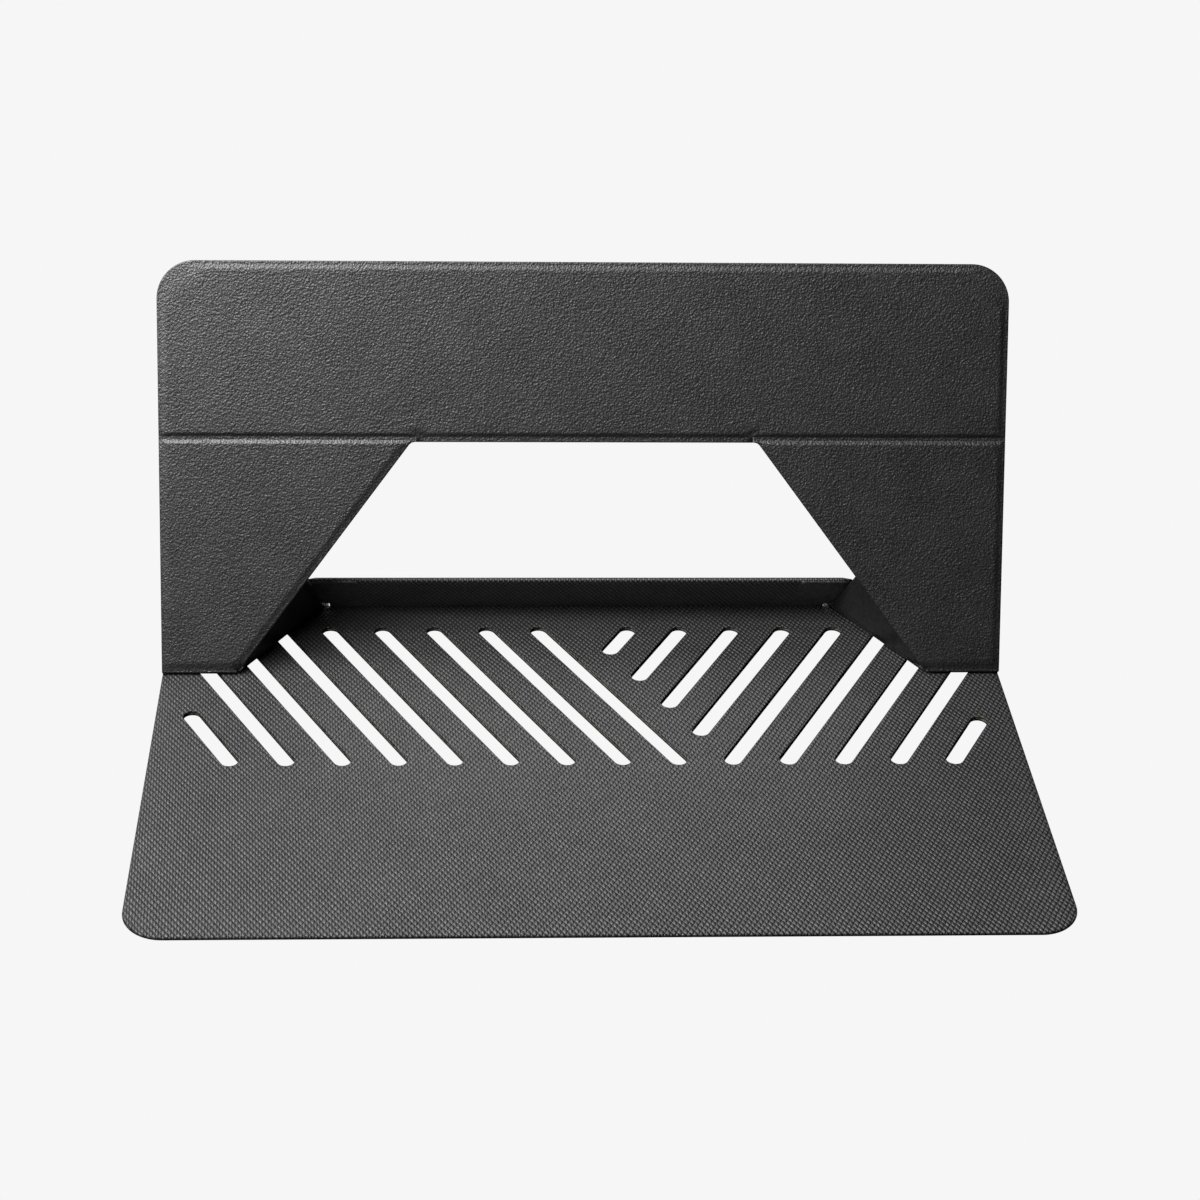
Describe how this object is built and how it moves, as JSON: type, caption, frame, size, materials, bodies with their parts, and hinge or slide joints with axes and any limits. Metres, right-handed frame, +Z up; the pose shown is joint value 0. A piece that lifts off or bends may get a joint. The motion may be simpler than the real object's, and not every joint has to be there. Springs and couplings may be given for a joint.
{
  "type": "folding laptop stand",
  "caption": "Fold-flat laptop stand: vented woven base plate, leaning leather-look frame on two legs, triangular side gussets and a low rear flap, with pressed fold lines.",
  "frame": {"origin": "centre of the footprint on the desk, with the frame leaning and open", "axes": "+X along the stand's width, +Y towards the back, +Z up"},
  "size_m": [0.31, 0.2134, 0.1397],
  "materials": {
    "leather": "matte fine-grained leather-look, charcoal",
    "woven": "coarse coated weave, charcoal",
    "board": "glass-fibre stiffener board",
    "magnet": "nickel-plated magnet",
    "steel": "thin steel strip"
  },
  "bodies": {
    "base": {"base_lining": "woven", "base_cover": "leather", "base_board": "board", "base_keepers": "steel", "flap_crease": "leather", "pad_board_right": "board", "pad_board_left": "board", "pad_cover_right": "leather", "pad_cover_left": "leather", "leg_crease_right": "leather", "leg_crease_left": "leather", "gusset_crease_right": "leather", "gusset_crease_left": "leather"},
    "legs": {"leg_face_right": "leather", "leg_face_left": "leather", "leg_back_right": "leather", "leg_back_left": "leather", "leg_board_right": "board", "leg_board_left": "board", "leg_magnets_right": "magnet", "leg_magnets_left": "magnet", "strip_crease_right": "leather", "strip_crease_left": "leather"},
    "strip": {"strip_face": "leather", "strip_back": "leather", "strip_board": "board", "strip_magnets": "magnet"},
    "gusset_right": {"gusset_face_right": "leather", "gusset_back_right": "leather", "gusset_board_right": "board", "gusset_magnets_right": "magnet"},
    "gusset_left": {"gusset_face_left": "leather", "gusset_back_left": "leather", "gusset_board_left": "board", "gusset_magnets_left": "magnet"},
    "rear_flap": {"flap_lining": "woven", "flap_cover": "leather", "flap_board": "board"}
  },
  "joints": [
    {"name": "leg_fold", "type": "hinge", "parent": "base", "child": "legs", "pos_m": [0, 0.04331, 0.0033], "axis": [1, 0, 0], "range_deg": [0, 114.8]},
    {"name": "strip_fold", "type": "hinge", "parent": "legs", "child": "strip", "pos_m": [0, 0.07939, 0.08137], "axis": [-1, 0, 0], "range_deg": [0, 118]},
    {"name": "right_gusset_fold", "type": "hinge", "parent": "base", "child": "gusset_right", "pos_m": [0.127, 0.04331, 0.0033], "axis": [0.5325, -0.8465, 0], "range_deg": [0, 81.9]},
    {"name": "left_gusset_fold", "type": "hinge", "parent": "base", "child": "gusset_left", "pos_m": [-0.127, 0.04331, 0.0033], "axis": [0.5325, 0.8465, 0], "range_deg": [0, 81.9]},
    {"name": "rear_flap_fold", "type": "hinge", "parent": "base", "child": "rear_flap", "pos_m": [0, 0.09291, 0.001], "axis": [-1, 0, 0], "range_deg": [0, 124.06]}
  ],
  "couplings": [
    {"joint": "right_gusset_fold", "follows": "leg_fold", "ratio": 0.7134},
    {"joint": "left_gusset_fold", "follows": "leg_fold", "ratio": 0.7134}
  ]
}
